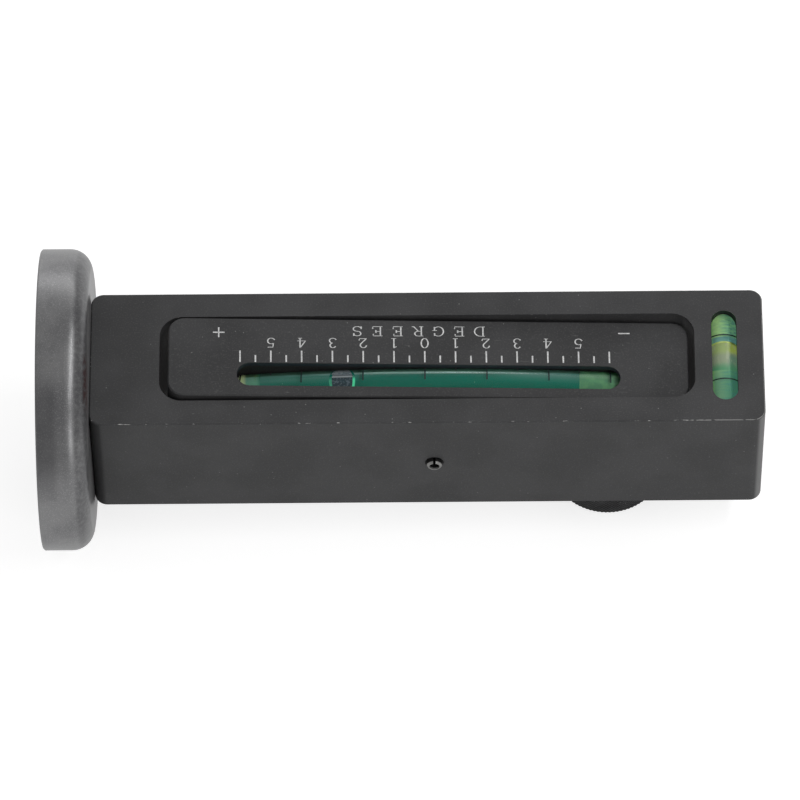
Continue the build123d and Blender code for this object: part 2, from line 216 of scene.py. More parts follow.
bar_finish, shader, place = new_material("anodised_bar", roughness=0.56, specular_ior_level=0.32)
x, y, z = axes(place)
edge = where(rise(z, bar_high.z - 0.75 * bar_break, bar_high.z - 0.45 * bar_break),
             rise(z, bar_high.z - 0.01 * mm, bar_high.z - 0.05 * mm))
handled = rise(x, handled_from, handled_to)
knocks = calc("ADD", grain(stretched(place, (1.0, 3.0, 3.0)), 1.4 * mm, 3.0), where(handled, 0.26))
worn = calc("SUBTRACT", 0.8, where(handled, 0.45))
between_sides = rise_about(y, 0.0, 12 * mm, 10 * mm)
along_pocket = rise_about(x, rocker_middle, rocker_half + 5.3 * mm, rocker_half + 4.3 * mm)
in_slot = where(rise_about(x, level_x, level_radius + 0.15 * mm, level_radius - 0.05 * mm),
                rise_about(y, 0.0, level_high.y + 1.8 * mm, level_high.y + 0.8 * mm),
                rise(z, bar_high.z - 0.05 * mm, bar_high.z - 0.2 * mm), rise(z, 0.0, 1 * mm))
upright_corner = where(rise_about(y, 0.0, bar_high.y - 2.4 * mm, bar_high.y - 1.6 * mm),
                       rise(z, bar_high.z - 0.05 * mm, bar_high.z - 0.4 * mm))
colour = coated(
    blasted_black(place, bar_black),
    (worn_metal, edge, rise(knocks, 0.6, 0.72), worn),
    # paler deep in the pocket
    (deep_pocket_pale, along_pocket, between_sides, rise(z, 13 * mm, 6 * mm), rise(z, -12 * mm, -9 * mm)),
    # painted shade on the walls of the level's slot
    (slot_wall_painted_shade, in_slot),
    # painted shade in the upright corners next to the magnet
    (corner_painted_shade, upright_corner, rise(x, bar_low.x + 2.3 * mm, bar_low.x + 1.9 * mm), 0.6),
    # painted highlight on the rounded upright corners at the knob's end
    (corner_painted_highlight, upright_corner, rise(x, bar_high.x - 1.6 * mm, bar_high.x - 0.8 * mm), 0.85))

# The gaps at the rocker's ends keep a little light of their own, as a lens veils what is deep and black
end_gap = where(rise_about(x, rocker_middle, rocker_half - 1.2 * mm, rocker_half - 0.4 * mm),
                rise_about(x, rocker_middle, rocker_half + 2.6 * mm, rocker_half + 2.1 * mm))
veiled = where(end_gap, rise(z, bar_high.z - 0.5 * mm, bar_high.z - 1.5 * mm), between_sides, end_gap_glow)
dress(shader, blasted_height(place), 0.004 * mm, base_color=colour, emission_strength=veiled)
finish_nodes(bar_finish, "housing")

# Magnet. A pressed steel pot, plated a dull grey, with a ferrite ring cast into it with black resin round a
# brass sleeve. An M6 screw and a split washer clamp it to the bar's left end. The plating is mottled with
# handling, and a little rust has crept into the corner next to the bar. Its rim carries a painted dim
# reflection on the side that faces up toward the viewer and painted shadow on its rear rounding, and a thin
# band at its front edge is darker.
pot_low, pot_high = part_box("magnet_cup")
pot_grey = (136, 136, 137)
pot_dark = (114, 114, 116)
pot_light = (168, 168, 167)
pot_painted_dim_reflection = (84, 84, 86)
pot_shadow = (70, 70, 72)
pot_rust = (84, 52, 50)
rust_start = 9.2 * mm
rust_radius = 25.5 * mm
rust_middle = -11.2 * mm
rust_half_length = 6.5 * mm
dim_reflection_angle = math.radians(-48)
ferrite_tones = ((44, 44, 47), (74, 74, 78))
ferrite_pit = (25, 25, 27)
resin_tones = ((20, 20, 21), (44, 43, 42))
brass_tones = ((176, 142, 82), (208, 174, 108))
zinc_tones = ((142, 143, 146), (186, 187, 188))


def from_axis(across, up):
    """Distance of a place from an axis."""
    return calc("SQRT", calc("ADD", calc("POWER", across, 2.0), calc("POWER", up, 2.0)))


def leaned(across, up, angle):
    """Distance along a direction that leans from up by an angle."""
    return calc("ADD", calc("MULTIPLY", across, math.sin(angle)), calc("MULTIPLY", up, math.cos(angle)))


pot_finish, shader, place = new_material("pot_steel", metallic=0.6, roughness=0.4)
x, y, z = axes(place)
clouds = patches(place, 9 * mm, 0.3, 0.7, 4.0)
patchy = patches(place, 0.9 * mm, 0.3, 0.65)
rounding = where(rise(x, pot_high.x - 3 * mm, pot_high.x - 2 * mm),
                 rise(x, pot_high.x, pot_high.x - 0.1 * mm))
in_corner = where(rise_about(from_axis(y, z), rust_radius, 3.6 * mm, 1.6 * mm),
                  rise(z, bar_high.z - 1 * mm, bar_high.z + 1 * mm),
                  rise(x, rust_start, rust_start + 0.2 * mm))
beside = rise_about(y, rust_middle, rust_half_length, 0.3 * rust_half_length)
# painted dim reflection on the side of the rim that faces up toward the viewer
facing = rise(leaned(y, z, dim_reflection_angle), pot_high.z - 4 * mm, pot_high.z - 0.2 * mm)
colour = coated(
    layer(clouds, pot_dark, pot_grey),
    (pot_dark, patches(place, 2.6 * mm, 0.55, 0.75), 0.5),
    (pot_light, patches(place, 0.22 * mm, 0.52, 0.7, 1.0), 0.5),
    (pot_dark, rise(x, 0.5 * mm, 0.1 * mm), 0.5),
    (pot_shadow, rounding, spread(patchy, 0.3, 0.6)),
    (pot_rust, in_corner, beside, patchy, 0.85),
    (pot_painted_dim_reflection, facing, rise(x, 4.8 * mm, 3 * mm), 0.5))
dress(shader, grain(place, 0.3 * mm), 0.006 * mm, base_color=colour, roughness=spread(clouds, 0.3, 0.37))
finish_nodes(pot_finish, "magnet_cup")

ferrite, shader, place = new_material("ferrite", roughness=0.5, metallic=0.15)
ground = grain(stretched(place, (1.0, 1.0, 0.06)), 0.25 * mm)
colour = coated(layer(ground, *ferrite_tones), (ferrite_pit, specks(place, 2.2 * mm, 0.3 * mm, 0.5)))
dress(shader, ground, 0.004 * mm, base_color=colour)
finish_nodes(ferrite, "ring_magnet")

resin, shader, place = new_material("cast_resin", roughness=0.34)
flow = grain(place, 2.5 * mm, 3.0)
dress(shader, flow, 0.05 * mm, base_color=layer(flow, *resin_tones))
finish_nodes(resin, "magnet_resin_ring")

brass, shader, place = new_material("turned_brass", roughness=0.3, metallic=1.0)
rings = grain(stretched(place, (9.0, 0.4, 0.4)), mm / 1.5)
dress(shader, rings, 0.005 * mm, base_color=layer(rings, *brass_tones))
finish_nodes(brass, "magnet_centre_sleeve")

zinc, shader, place = new_material("zinc_steel", metallic=0.9, roughness=0.38)
spangle = grain(place, 0.8 * mm, 3.0)
colour = layer(spangle, *zinc_tones)
dress(shader, spangle, 0.01 * mm, base_color=colour, roughness=spread(spangle, 0.28, 0.48))
finish_nodes(zinc, "magnet_screw", "magnet_lock_washer")

# Pivot pin. Rolled from blackened spring steel strip with a slit along it, and driven through the bar. The
# rocker turns on it, and its two ends stand a millimetre out of the bar's sides and are rubbed bright.
pin_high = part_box("pivot_roll_pin")[1]
pin_tones = ((30, 30, 31), (46, 45, 45))
pin_rubbed_tones = ((120, 120, 119), (170, 169, 167))


def drawn_lines(place):
    """Fine lines along the Y axis, as drawing or rolling leaves them."""
    return grain(stretched(place, (1.0, 0.15, 1.0)), 0.3 * mm, 3.0)


pin_steel, shader, place = new_material("blackened_pin", metallic=0.5, roughness=0.45)
rubbed = rise_about(axes(place)[1], 0.0, pin_high.y - 0.5 * mm, pin_high.y - 0.3 * mm)
drawn = drawn_lines(place)
colour = layer(rubbed, layer(drawn, *pin_tones), layer(drawn, *pin_rubbed_tones))
dress(shader, drawn, 0.006 * mm, base_color=colour)
finish_nodes(pin_steel, "pivot_roll_pin")

# Rocker spring. Wound from round spring wire with its end turns closed, it stands in a blind hole in the
# pocket's floor and pushes the rocker's left end up.
spring_low, spring_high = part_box("rocker_spring")
spring_centre = (spring_low + spring_high) / 2
spring_wire = 0.8 * mm
spring_turns = 7
spring_steps = 36
wire_sides = 12
spring_tones = ((118, 117, 116), (176, 175, 173))
spring_stain = (82, 70, 60)

spring_steel, shader, place = new_material("spring_steel", metallic=0.85, roughness=0.4)
drawn = drawn_lines(place)
stained = patches(place, 0.9 * mm, 0.58, 0.75, 2.0)
colour = coated(layer(drawn, *spring_tones), (spring_stain, stained, 0.4))
dress(shader, drawn, 0.006 * mm, base_color=colour)


def add_object(name, data):
    """New object in the scene, made of a mesh, a lamp or a camera."""
    made = bpy.data.objects.new(name, data)
    bpy.context.scene.collection.objects.link(made)
    return made


def piece_of(name, points, faces, sharp_from=35.0):
    """Closed mesh piece, smooth where its faces meet at less than an angle in degrees."""
    mesh = bpy.data.meshes.new(name)
    mesh.from_pydata(points, [], faces)
    shaped = bmesh.new()
    shaped.from_mesh(mesh)
    bmesh.ops.remove_doubles(shaped, verts=shaped.verts, dist=1e-7)
    bmesh.ops.recalc_face_normals(shaped, faces=shaped.faces)
    shaped.to_mesh(mesh)
    shaped.free()
    mesh.shade_smooth()
    mesh.set_sharp_from_angle(angle=math.radians(sharp_from))
    return add_object(name, mesh)


def finish_piece(piece, body, slot, *materials, replaces=None):
    """Give a piece its materials and the body it moves with, and hide the CAD node it replaces. Slot is not
    used.
    """
    for material in materials:
        piece.data.materials.append(material)
    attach(piece, body)
    if replaces:
        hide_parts(replaces)


def round_points(sides, radius):
    """Points of a circle with a number of sides, each as two offsets from its middle."""
    angles = [math.tau * side / sides for side in range(sides)]
    return [(radius * math.cos(angle), radius * math.sin(angle)) for angle in angles]


def ring_faces(rings, sides):
    """Faces between rings of points that follow each other."""
    faces = []
    for ring in range(rings - 1):
        for side in range(sides):
            after = (side + 1) % sides
            here, there = ring * sides, (ring + 1) * sides
            faces.append((here + side, here + after, there + after, there + side))
    return faces


def end_faces(rings, sides):
    """One flat face over the first ring of points and one over the last."""
    return [tuple(range(sides)), tuple(range((rings - 1) * sides, rings * sides))]


def spring_height(turn):
    """Height of the wire's middle at a turn: the end turns lie close, and the others share the rest."""
    closed = 1.05 * spring_wire
    span = spring_high.z - spring_low.z - spring_wire
    pitch = (span - 2 * closed) / (spring_turns - 2)
    climb = closed * min(turn, 1) + pitch * min(max(turn - 1, 0), spring_turns - 2)
    return spring_low.z + spring_wire / 2 + climb + closed * max(turn - spring_turns + 1, 0)


coil_radius = (spring_high.x - spring_low.x - spring_wire) / 2
rings = spring_turns * spring_steps + 1
points = []
for step in range(rings):
    turn = step / spring_steps
    outward = Vector((math.cos(math.tau * turn), math.sin(math.tau * turn), 0))
    middle = Vector((spring_centre.x, spring_centre.y, spring_height(turn))) + coil_radius * outward
    for out, up in round_points(wire_sides, spring_wire / 2):
        points.append(middle + out * outward + Vector((0, 0, up)))
faces = ring_faces(rings, wire_sides) + end_faces(rings, wire_sides)
spring = piece_of("rocker_spring_coil", points, faces, sharp_from=60.0)
finish_piece(spring, "bar", "spring_steel", spring_steel, replaces="rocker_spring")
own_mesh(spring)

# Rocker. An aluminium bar like the housing, with the vial's window and channel milled in it. The scale is
# engraved in its top face: ticks at each half degree, plain numbers, a plus and a minus sign at the ends and
# the unit's name. The lines are filled with white paint and read from the far side.
joint_places = {joint["name"]: Vector(joint["pos_m"]) for joint in frame["joints"] if "pos_m" in joint}
pin = joint_places["rocker_tilt"]
rocker_black = (59, 59, 60)
window_wall_painted_shade = (42, 48, 54)
window_middle = -4 * mm
paint_tones = ((184, 185, 186), (222, 222, 221))
rest_tilt = math.radians(1.94)
face_height = 14.3 * mm
zero_offset = 2.2 * mm
degree_pitch = 6.08 * mm
scale_skew = math.radians(0.5)
last_degree = 5
number_low = 2.45 * mm
number_height = 2.28 * mm
unit_word = "DEGREES"
word_low = 5.2 * mm
word_height = 2.3 * mm
word_centre = -1.25 * mm
word_spacing = 4.05 * mm
sign_height = 6.0 * mm
plus_place = -40.7 * mm
minus_place = 39.5 * mm
sign_size = 1.15 * mm
pen_thin = 0.11 * mm
pen_thick = 0.27 * mm
figure_grid_height = 1.5
figure_grid_width = 1.0
letter_grid_width = 1.25
glyph_widening = 1.1
fill_depth = 0.06 * mm
fill_proud = 0.012 * mm

rocker_finish, shader, place = new_material("anodised_rocker", roughness=0.52, specular_ior_level=0.32)
hairlines = patches(stretched(place, (0.12, 1.6, 1.0)), 0.5 * mm, 0.74, 0.8, 1.0)
x, y, z = axes(place)
up_face = leaned(calc("SUBTRACT", x, pin.x), z, rest_tilt)
# painted shade on the walls of the vial's window, below the face
in_window = where(rise_about(y, window_middle, 3.0 * mm, 2.8 * mm),
                  rise(up_face, face_height - 0.08 * mm, face_height - 0.3 * mm))
colour = coated(blasted_black(place, rocker_black), (dust, hairlines, 0.2), (window_wall_painted_shade, in_window))
dress(shader, blasted_height(place), 0.004 * mm, base_color=colour)
finish_nodes(rocker_finish, "rocker_block")

white_paint, shader, place = new_material("white_fill", roughness=0.6)
brushed = patches(place, 0.35 * mm, 0.3, 0.7)
dress(shader, brushed, 0.01 * mm, base_color=layer(brushed, *paint_tones))
finish_nodes(white_paint, "scale_marks")


def bend(centre_x, centre_y, radius_x, radius_y, start, end, steps=20):
    """Points along part of an oval, between two angles in degrees."""
    angles = [math.radians(start + (end - start) * step / steps) for step in range(steps + 1)]
    return [(centre_x + radius_x * math.cos(a), centre_y + radius_y * math.sin(a)) for a in angles]


# The strokes of each figure and letter, on a grid where a figure is 1 wide and 1.5 high
strokes = {
    "0": [bend(0.5, 0.75, 0.4, 0.72, 0, 360, 36)],
    "1": [[(0.5, 0), (0.5, 1.5)], [(0.5, 1.48), (0.2, 1.28)], [(0.22, 0.04), (0.8, 0.04)]],
    "2": [bend(0.47, 1.08, 0.36, 0.4, 175, -30) + [(0.1, 0.06)], [(0.1, 0.08), (0.9, 0.08), (0.97, 0.34)]],
    "3": [bend(0.44, 1.13, 0.33, 0.36, 160, -90) + bend(0.44, 0.4, 0.4, 0.37, 90, -160)],
    "4": [[(0.68, 1.5), (0.68, 0)], [(0.66, 1.48), (0.05, 0.46), (1.0, 0.46)], [(0.44, 0.04), (0.92, 0.04)]],
    "5": [[(0.88, 1.43), (0.26, 1.43), (0.2, 0.84)] + bend(0.45, 0.48, 0.42, 0.44, 125, -160)],
    "D": [[(0.22, 0), (0.22, 1.5)], [(0, 0.04), (0.5, 0.04)], [(0, 1.46), (0.5, 1.46)],
          bend(0.5, 0.75, 0.7, 0.71, 90, -90)],
    "E": [[(0.25, 0), (0.25, 1.5)], [(0.02, 1.46), (1.08, 1.46), (1.08, 1.16)], [(0.25, 0.78), (0.78, 0.78)],
          [(0.78, 0.98), (0.78, 0.58)], [(0.02, 0.04), (1.12, 0.04), (1.15, 0.38)]],
    "G": [[(1.1, 1.42), (1.1, 1.02)], bend(0.66, 0.75, 0.6, 0.71, 45, 318, 30), [(1.1, 0.08), (1.1, 0.62)],
          [(0.82, 0.62), (1.34, 0.62)]],
    "R": [[(0.25, 0), (0.25, 1.5)], [(0.02, 0.04), (0.5, 0.04)], [(0.02, 1.46), (0.6, 1.46)],
          bend(0.6, 1.1, 0.42, 0.36, 90, -90) + [(0.25, 0.74)], [(0.6, 0.74), (1.12, 0.04), (1.36, 0.04)]],
    "S": [[(0.98, 1.46), (0.98, 1.06)], [(0.1, 0.42), (0.1, 0.04)],
          bend(0.56, 1.11, 0.42, 0.35, 30, 250) + bend(0.56, 0.4, 0.46, 0.36, 80, -150)],
}


def on_face(across, along, height):
    """Point on the rocker's face from its place in the scale's own frame, which is skewed a little."""
    skewed = Matrix.Rotation(scale_skew, 4, "Z") @ Vector((across, along, 0))
    level = Vector((skewed.x - zero_offset, skewed.y, face_height + height))
    return Matrix.Translation(pin) @ Matrix.Rotation(rest_tilt, 4, "Y") @ level


def bar_faces(first_point, stretches, corners):
    """Faces of a bar whose cross-sections are four points each: its sides along the corners, and its ends."""
    faces = []
    for stretch in range(stretches):
        here = first_point + 4 * stretch
        for a, b in zip(corners, corners[1:] + corners[:1]):
            faces.append((here + a, here + 4 + a, here + 4 + b, here + b))
    for end in (first_point, first_point + 4 * stretches):
        faces.append(tuple(end + corner for corner in corners))
    return faces


def draw_stroke(points, faces, line, thin, thick):
    """One stroke of a flat pen as a shallow bar of paint: thick where it runs up the letter, thin across."""
    faces += bar_faces(len(points), len(line) - 1, (0, 2, 3, 1))
    for index, spot in enumerate(line):
        before, after = line[max(index - 1, 0)], line[min(index + 1, len(line) - 1)]
        run = Vector((after[0] - before[0], after[1] - before[1])).normalized()
        half = (thin + (thick - thin) * abs(run.y) ** 1.5) / 2
        for side in (half, -half):
            for height in (fill_proud, -fill_depth):
                points.append(on_face(spot[0] - side * run.y, spot[1] + side * run.x, height))


def draw_glyph(points, faces, glyph, middle, low, height, width):
    """One figure or letter, turned half round so that it reads from the far side."""
    size = height / figure_grid_height
    across = glyph_widening * size
    for line in strokes[glyph]:
        placed = [(middle - (gx - width / 2) * across, low + (figure_grid_height - gy) * size)
                  for gx, gy in line]
        draw_stroke(points, faces, placed, pen_thin, pen_thick)


points, faces = [], []
for degree in range(-last_degree, last_degree + 1):
    middle = degree * degree_pitch
    draw_glyph(points, faces, str(abs(degree)), middle, number_low, number_height, figure_grid_width)
finish_piece(piece_of("scale_numbers", points, faces), "rocker", "white_fill", white_paint)

points, faces = [], []
for index, letter in enumerate(unit_word):
    middle = word_centre + ((len(unit_word) - 1) / 2 - index) * word_spacing
    draw_glyph(points, faces, letter, middle, word_low, word_height, letter_grid_width)
finish_piece(piece_of("scale_unit_word", points, faces), "rocker", "white_fill", white_paint)

points, faces = [], []
for middle in (plus_place, minus_place):
    level_line = [(middle - sign_size, sign_height), (middle + sign_size, sign_height)]
    draw_stroke(points, faces, level_line, pen_thick, pen_thick)
post_line = [(plus_place, sign_height - sign_size), (plus_place, sign_height + sign_size)]
draw_stroke(points, faces, post_line, pen_thick, pen_thick)
finish_piece(piece_of("scale_signs", points, faces), "rocker", "white_fill", white_paint)

# Camber vial. A clear acrylic tube bent to the scale's arch, filled with green spirit and closed by a light
# green plug at each end. It lies in the rocker's channel in cast cement, and thin dark lines printed on it
# repeat the degrees.
arch = joint_places["camber_bubble_travel"]
tube_low, tube_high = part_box("camber_vial_tube")
tube_radius = (tube_high.y - tube_low.y) / 2
vial_middle_y = (tube_high.y + tube_low.y) / 2
arch_radius = tube_high.z - tube_radius - arch.z
tube_wall = 0.9 * mm
bore_radius = tube_radius - tube_wall
wetting = 0.01 * mm
tube_edge = 0.15 * mm
left_plug_length = 4.1 * mm
right_plug_length = 9.4 * mm
line_width = 0.3 * mm
line_proud = 0.02 * mm
line_start_angle = 75.0
line_end_angles = (-8.0, 30.0)
tube_clear = (246, 252, 248)
spirit_tones = ((30, 120, 104), (24, 120, 100))
spirit_painted_light_under_wall = (84, 122, 106)
spirit_sheen = (200, 234, 226)
spirit_swirl = (50, 120, 100)
spirit_mote = (120, 190, 160)
left_plug_green = (92, 162, 130)
left_plug_painted_light_under_wall = (92, 128, 96)
left_plug_tip = (220, 232, 172)
left_plug_painted_glints = (118, 166, 108)
left_plug_wet = (50, 132, 110)
right_plug_tones = ((96, 152, 116), (110, 168, 122))
right_plug_sheen = (156, 196, 164)
ink_tones = ((14, 34, 36), (26, 50, 52))
cement_tones = ((120, 116, 110), (168, 164, 156))


def on_arch(across, up, along):
    """Point by its offset from the vial's axis and its distance along the arch from the zero."""
    angle = along / arch_radius
    radius = arch_radius + up
    return Vector((arch.x + radius * math.sin(angle), vial_middle_y + across,
                   arch.z + radius * math.cos(angle)))


def arch_distance(x):
    """Distance along the arch from the zero of a place on the vial's axis."""
    return arch_radius * math.asin((x - arch.x) / arch_radius)


def turned(name, outline, place, around=96):
    """Outline of (radius, along) points turned round a line. One that starts on the line ends on it too."""
    solid = outline[0][0] == 0
    count = len(outline)
    points = []
    for across, up in round_points(around, 1.0):
        points += [place(radius * up, radius * across, along) for radius, along in outline]
    faces = []
    for step in range(around):
        here, there = step * count, (step + 1) % around * count
        for index in range(count - 1 if solid else count):
            after = (index + 1) % count
            faces.append((here + index, here + after, there + after, there + index))
    return piece_of(name, points, faces)


def stations(start, end, count):
    """Evenly spaced places from start to end."""
    return [start + (end - start) * step / count for step in range(count + 1)]


def core(name, start, end, radius, place, count):
    """Solid round filling of a tube between two places, with a small round at its ends."""
    edge = 0.03 * mm
    outline = [(0, start), (radius - edge, start)]
    outline += [(radius, spot) for spot in stations(start + edge, end - edge, count)]
    outline += [(radius - edge, end), (0, end)]
    return turned(name, outline, place)


def printed_line(points, faces, along, start, end, place, radius):
    """Thin line of ink round part of a tube, between two angles from its top toward +Y or +X."""
    steps = 24
    faces += bar_faces(len(points), steps, (0, 1, 3, 2))
    for angle in stations(math.radians(start), math.radians(end), steps):
        for lift in (radius, radius + line_proud):
            for side in (-line_width / 2, line_width / 2):
                points.append(place(lift * math.sin(angle), lift * math.cos(angle), along + side))


def across_bore(y):
    """Place across the vial as a share of its bore: -1 at the near side and 1 at the far side."""
    return calc("DIVIDE", calc("SUBTRACT", y, vial_middle_y), bore_radius)


def under_wall(across):
    """1 on the far side, where a filling is seen through the thick of the tube's wall."""
    return rise(across, 0.59, 0.62)


clear_tube, shader, place = new_material("vial_clear", transmission_weight=1.0, ior=1.49, roughness=0.03)
shader.inputs["Base Color"].default_value = shade(tube_clear)
dress(shader, grain(place, 6 * mm, 1.0), 0.004 * mm)

spirit, shader, place = new_material("vial_fluid", roughness=0.5, specular_ior_level=0.0)
x, y, z = axes(place)
across = across_bore(y)
toward_ends = rise_about(x, arch.x, 6 * mm, 30 * mm)
wide_sheen = where(rise(across, -0.3, 0.6), 0.3)
sheen = node("ShaderNodeMix", {0: toward_ends, 2: rise(across, 0.36, 0.54), 3: wide_sheen})
# The spirit carries a painted sheen on its far side, and its lighter colour under the tube's wall paints
# light into the shade that the slot's wall casts there.
dress(shader, base_color=coated(
    layer(rise(across, 0.6, -0.7), *spirit_tones),
    (spirit_painted_light_under_wall, under_wall(across)),
    (spirit_sheen, sheen, calc("SUBTRACT", 1.0, under_wall(across)), 0.75),
    (spirit_swirl, patches(stretched(place, (0.3, 1.0, 1.0)), 2.0 * mm, 0.4, 0.7), 0.15),
    (spirit_mote, specks(place, 1.6 * mm, 0.12 * mm, 0.35), 0.5)))

left_plug_finish, shader, place = new_material("vial_plug_left", roughness=0.5, specular_ior_level=0.0)
x, y, z = axes(place)
across = across_bore(y)
left_plug_end = tube_low.x + left_plug_length
near_spirit = rise(x, left_plug_end - 1.8 * mm, left_plug_end - 0.6 * mm)
# The plug takes the spirit's painted sheen, lighter colour painted into the wall's shade, and painted
# yellowish glints near the spirit.
dress(shader, base_color=coated(
    left_plug_green,
    (spirit_sheen, rise(across, -0.3, 0.6), 0.3),
    (left_plug_painted_light_under_wall, under_wall(across)),
    (left_plug_tip, rise(x, tube_low.x + 1.5 * mm, tube_low.x + 0.6 * mm), 0.85),
    (left_plug_painted_glints, patches(place, 0.8 * mm, 0.5, 0.64, 2.0), near_spirit, 0.6),
    (left_plug_wet, rise(x, left_plug_end - 1.0 * mm, left_plug_end), 0.6)))

right_plug_finish, shader, place = new_material("vial_plug_right", roughness=0.5, specular_ior_level=0.0)
across = across_bore(axes(place)[1])
dress(shader, base_color=coated(
    layer(patches(place, 1.4 * mm, 0.35, 0.65), *right_plug_tones),
    (right_plug_sheen, rise(across, 0.1, 0.55), calc("SUBTRACT", 1.0, under_wall(across)), 0.6)))

ink, shader, place = new_material("printed_ink", roughness=0.5)
dress(shader, base_color=layer(grain(place, 0.4 * mm, 3.0), *ink_tones))

cement, shader, place = new_material("vial_cement", roughness=0.85)
sand = grain(place, 0.5 * mm, 4.0)
dress(shader, sand, 0.08 * mm, base_color=layer(sand, *cement_tones))
finish_nodes(cement, "camber_vial_cement_left", "camber_vial_cement_right")

start = arch_distance(tube_low.x + tube_edge)
end = arch_distance(tube_high.x - tube_edge)
outline = [(tube_radius - tube_edge, start)]
outline += [(tube_radius, spot) for spot in stations(start + tube_edge, end - tube_edge, 64)]
outline += [(tube_radius - tube_edge, end), (bore_radius, end)]
outline += [(bore_radius, spot) for spot in stations(end - tube_edge, start + tube_edge, 64)]
outline += [(bore_radius, start)]
vial_tube = turned("camber_vial_glass", outline, on_arch)
vial_tube.visible_shadow = False
finish_piece(vial_tube, "rocker", "vial_clear", clear_tube, replaces="camber_vial_tube")

filled = bore_radius + wetting
spirit_start = start + left_plug_length
spirit_end = end - right_plug_length
vial_fluid = core("camber_vial_spirit", spirit_start, spirit_end, filled, on_arch, 56)
finish_piece(vial_fluid, "rocker", "vial_fluid", spirit, replaces="camber_vial_fluid")
plug_left = core("camber_vial_stopper_left", start + 2 * tube_edge, spirit_start, filled, on_arch, 6)
finish_piece(plug_left, "rocker", "vial_plug", left_plug_finish, replaces="camber_vial_plug_left")
plug_right = core("camber_vial_stopper_right", spirit_end, end - 2 * tube_edge, filled, on_arch, 10)
finish_piece(plug_right, "rocker", "vial_plug", right_plug_finish, replaces="camber_vial_plug_right")

points, faces = [], []
for degree in range(-last_degree, last_degree + 2):
    along = math.radians(degree) * arch_radius
    printed_line(points, faces, along, line_start_angle, line_end_angles[degree % 2], on_arch, tube_radius)
finish_piece(piece_of("camber_vial_lines", points, faces), "rocker", "retainer_black", ink)

# Camber bubble. Air left in the spirit, which lies under the top of the bore and shows as a dark pane between
# two bright green rims, where light is turned aside at its ends.
bubble_low, bubble_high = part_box("camber_bubble")
bubble_shift = 0.2 * mm
bubble_middle = arch_distance((bubble_low.x + bubble_high.x) / 2) + bubble_shift
bubble_half = 2.56 * mm
bubble_floor = 1.0 * mm
bubble_film = 0.03 * mm
bubble_radius = bore_radius + bubble_film
bubble_rim_shares = (0.1, 0.2)
bubble_streak_share = 0.28
pane_far_tones = ((106, 108, 116), (172, 182, 188))
pane_near = (46, 66, 76)
pane_painted_glints = (96, 112, 124)
pane_painted_highlight = (168, 174, 178)
rim_left_tones = ((56, 166, 128), (78, 198, 156))
rim_right = (92, 255, 192)

# The pane's light and shade are painted: lighter on its far side and dark on its near half, with painted
# glints and a painted highlight line across it.
pane, shader, place = new_material("bubble_pane", roughness=0.15)
across = across_bore(axes(place)[1])
streak = rise_about(across, bubble_streak_share, 0.24 * mm / bore_radius, 0.08 * mm / bore_radius)
dress(shader, base_color=coated(
    layer(rise(across, 0.32, 0.62), *pane_far_tones),
    (pane_near, rise(across, 0.36, 0.2)),
    (pane_painted_glints, patches(place, 0.5 * mm, 0.46, 0.62, 2.0), 0.6),
    (pane_painted_highlight, streak)))

# painted light: the bright green that the bubble's ends turn aside, brightest at the right rim
rim, shader, place = new_material("bubble_rim", roughness=0.2)
x, y, z = axes(place)
dress(shader, base_color=coated(
    layer(patches(place, 0.8 * mm, 0.3, 0.7, 2.0), *rim_left_tones),
    (rim_right, rise(x, bubble_low.x, bubble_high.x)),
    (spirit_tones[0], rise(across_bore(y), -0.1, 0.4))))


def air_bubble(name, middle, half, radius, place, find, rim_shares, painted_shares, roundness):
    """Air under the top of a bore, round at both ends. Faces in a painted share of an end take the rim."""
    across_steps = 24
    limit = math.acos(bubble_floor / radius)
    ends = [-1.0] + stations(-1.0 + rim_shares[0], 1.0 - rim_shares[1], 16) + [1.0]
    points = []
    for share in stations(-1.0, 1.0, across_steps):
        angle = share * limit
        reach = half * math.sqrt(1 - (roundness * share) ** 2)
        for end in ends:
            points.append(place(radius * math.sin(angle), radius * math.cos(angle), middle + reach * end))
            points.append(place(radius * math.sin(angle), bubble_floor - bubble_film, middle + reach * end))
    row = 2 * len(ends)
    faces = []
    for start in range(0, across_steps * row, row):
        for a in range(start, start + row - 2, 2):
            faces += [(a, a + 2, a + row + 2, a + row), (a + 1, a + 3, a + row + 3, a + row + 1)]
        faces += [(a, a + 1, a + row + 1, a + row) for a in (start, start + row - 2)]
    for a in range(0, row - 2, 2):
        faces += [(side + a, side + a + 1, side + a + 3, side + a + 2) for side in (0, across_steps * row)]
    bubble = piece_of(name, points, faces)
    for face in bubble.data.polygons:
        across, run = find(face.center)
        angle = math.asin(min(max(across / radius, -1), 1))
        reach = half * math.sqrt(max(1 - (roundness * angle / limit) ** 2, 0.01))
        share = (run - middle) / reach
        if share < -1 + painted_shares[0] or share > 1 - painted_shares[1]:
            face.material_index = 1
    return bubble


camber_bubble = air_bubble(
    "camber_bubble_air", bubble_middle, bubble_half, bubble_radius, on_arch,
    lambda spot: (spot.y - vial_middle_y, arch_distance(spot.x)),
    bubble_rim_shares, bubble_rim_shares, roundness=0.9)
finish_piece(camber_bubble, "camber_air", "bubble_air", pane, rim, replaces="camber_bubble")

